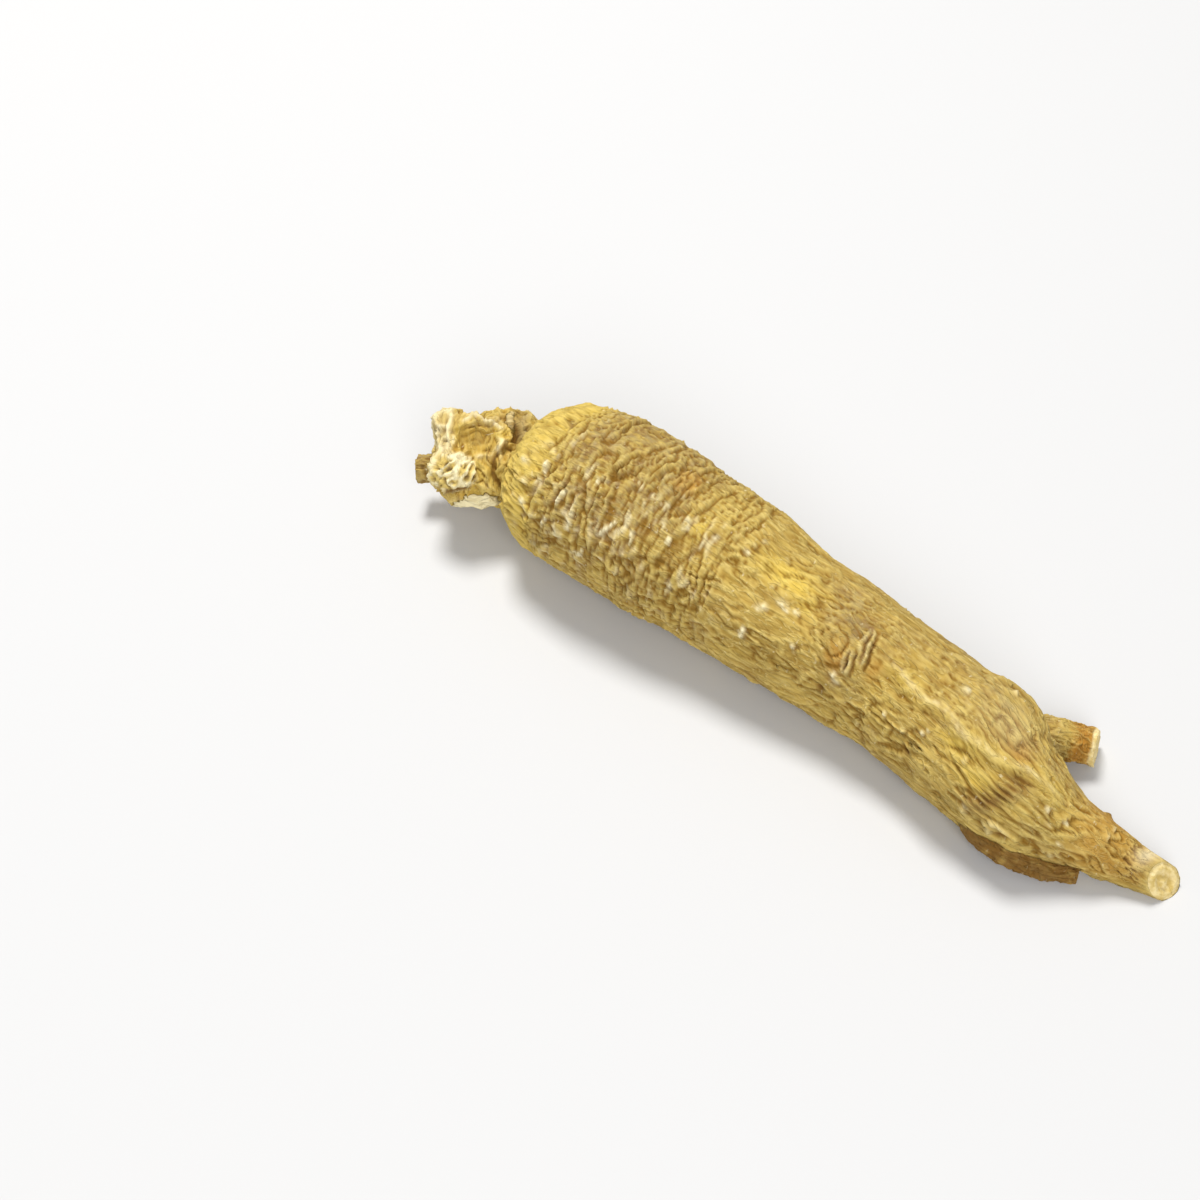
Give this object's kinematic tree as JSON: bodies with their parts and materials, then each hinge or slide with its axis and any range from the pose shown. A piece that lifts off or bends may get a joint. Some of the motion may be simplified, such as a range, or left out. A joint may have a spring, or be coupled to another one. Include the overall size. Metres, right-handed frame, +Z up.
{
  "type": "american ginseng root",
  "caption": "Dried ginseng taproot lying on its side: knobbly rhizome at one end, ringed shoulder, wrinkled tapering body, cut side rootlets and an oblique cut tail.",
  "frame": {"origin": "centre of the footprint, on the surface the root rests on", "axes": "+X along the root from the rhizome knob to the cut tail, +Z up from the resting surface, -Y the side with the thin lower rootlet"},
  "size_m": [0.0982, 0.0226, 0.0189],
  "materials": {
    "root_skin": "dry wrinkled straw-yellow root bark, matt"
  },
  "bodies": {
    "root": {"ginseng_root": "root_skin"}
  },
  "joints": []
}
